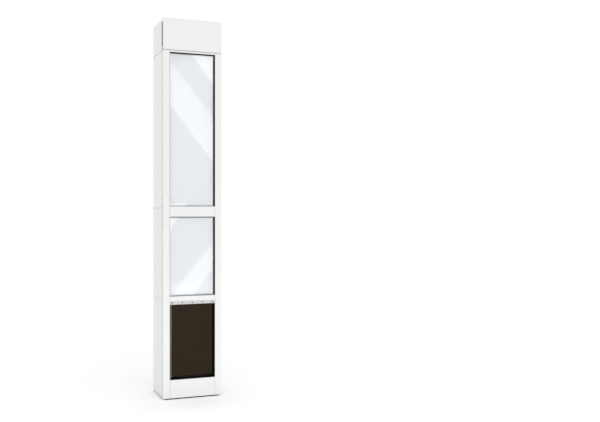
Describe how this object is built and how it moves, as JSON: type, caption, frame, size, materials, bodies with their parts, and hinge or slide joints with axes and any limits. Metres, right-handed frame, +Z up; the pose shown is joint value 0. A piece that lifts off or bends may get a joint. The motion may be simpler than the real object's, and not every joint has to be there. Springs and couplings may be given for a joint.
{
  "type": "sliding-door pet panel with flap",
  "caption": "Tall narrow glazed panel for a sliding patio door, with a swinging pet flap at its foot, a deep casing and a height-adjusting cap.",
  "frame": {"origin": "middle of the base, on the surface that the panel stands on", "axes": "+X to the panel's right seen from the flap side, +Y from the front to the back, +Z up along its length"},
  "size_m": [0.332, 0.28, 2.116],
  "materials": {
    "white_aluminium": "white powder coat, satin",
    "mill_aluminium": "mill finish",
    "satin_aluminium": "anodised, satin",
    "dark_aluminium": "dark grey anodised, satin",
    "steel": "zinc plated",
    "spacer_metal": "mill finish",
    "black_rubber": "matt",
    "pale_pile": "short dense pile",
    "glass": "clear, double glazed with a low-emissivity coating",
    "white_plastic": "satin",
    "black_plastic": "fine moulded grain",
    "grey_plastic": "fine moulded grain",
    "magnet": "magnetic rubber strip, matt",
    "flap_sheet": "smoke-brown flexible vinyl, satin"
  },
  "bodies": {
    "panel": {"base_seal": "black_rubber", "bottom_rail": "white_aluminium", "cap_clamp_bolts": "steel", "cap_clamp_nuts": "steel", "cap_clamp_spacers": "black_plastic", "cap_clamp_washers": "steel", "cap_glides": "black_plastic", "cap_seal": "pale_pile", "core_back": "mill_aluminium", "core_front": "mill_aluminium", "core_sides": "mill_aluminium", "corner_keys": "mill_aluminium", "flap_clamp_bar": "satin_aluminium", "flap_clamp_screws": "steel", "flap_edge_strip": "dark_aluminium", "flap_frame": "black_plastic", "flap_frame_magnet": "magnet", "flap_heel": "flap_sheet", "head_plate": "mill_aluminium", "keeper_plate": "steel", "keeper_screws": "steel", "left_edge_pile": "pale_pile", "left_panel_lower": "white_aluminium", "left_panel_middle": "white_aluminium", "left_panel_upper": "white_aluminium", "left_stile": "white_aluminium", "lower_bead": "white_plastic", "lower_gasket": "black_rubber", "lower_inner_pane": "glass", "lower_outer_pane": "glass", "lower_rail": "white_aluminium", "lower_setting_blocks": "black_rubber", "lower_spacer": "spacer_metal", "lower_transom": "white_aluminium", "mid_rail": "white_aluminium", "mid_transom": "white_aluminium", "rail_screws": "steel", "right_edge_pile": "pale_pile", "right_panel_lower": "white_aluminium", "right_panel_middle": "white_aluminium", "right_panel_upper": "white_aluminium", "right_stile": "white_aluminium", "threshold": "white_aluminium", "top_rail": "white_aluminium", "top_transom": "white_aluminium", "upper_bead": "white_plastic", "upper_gasket": "black_rubber", "upper_inner_pane": "glass", "upper_outer_pane": "glass", "upper_setting_blocks": "black_rubber", "upper_spacer": "spacer_metal"},
    "flap": {"flap": "flap_sheet", "flap_magnet": "magnet"},
    "cap": {"cap_shell": "white_aluminium", "bolt_tray": "grey_plastic", "bolt_tray_screw": "steel", "bolt_bush": "white_plastic"},
    "edge_bolt": {"bolt_rod": "steel", "bolt_carrier": "black_plastic", "bolt_knob": "black_plastic"}
  },
  "joints": [
    {"name": "flap_swing", "type": "hinge", "parent": "panel", "child": "flap", "pos_m": [0, -0.123, 0.519], "axis": [1, 0, 0], "range_deg": [-85, 85]},
    {"name": "cap_lift", "type": "slide", "parent": "panel", "child": "cap", "axis": [0, 0, 1], "range_m": [0, 0.076]},
    {"name": "bolt_slide", "type": "slide", "parent": "cap", "child": "edge_bolt", "axis": [0, 0, 1], "range_m": [0, 0.03]}
  ]
}
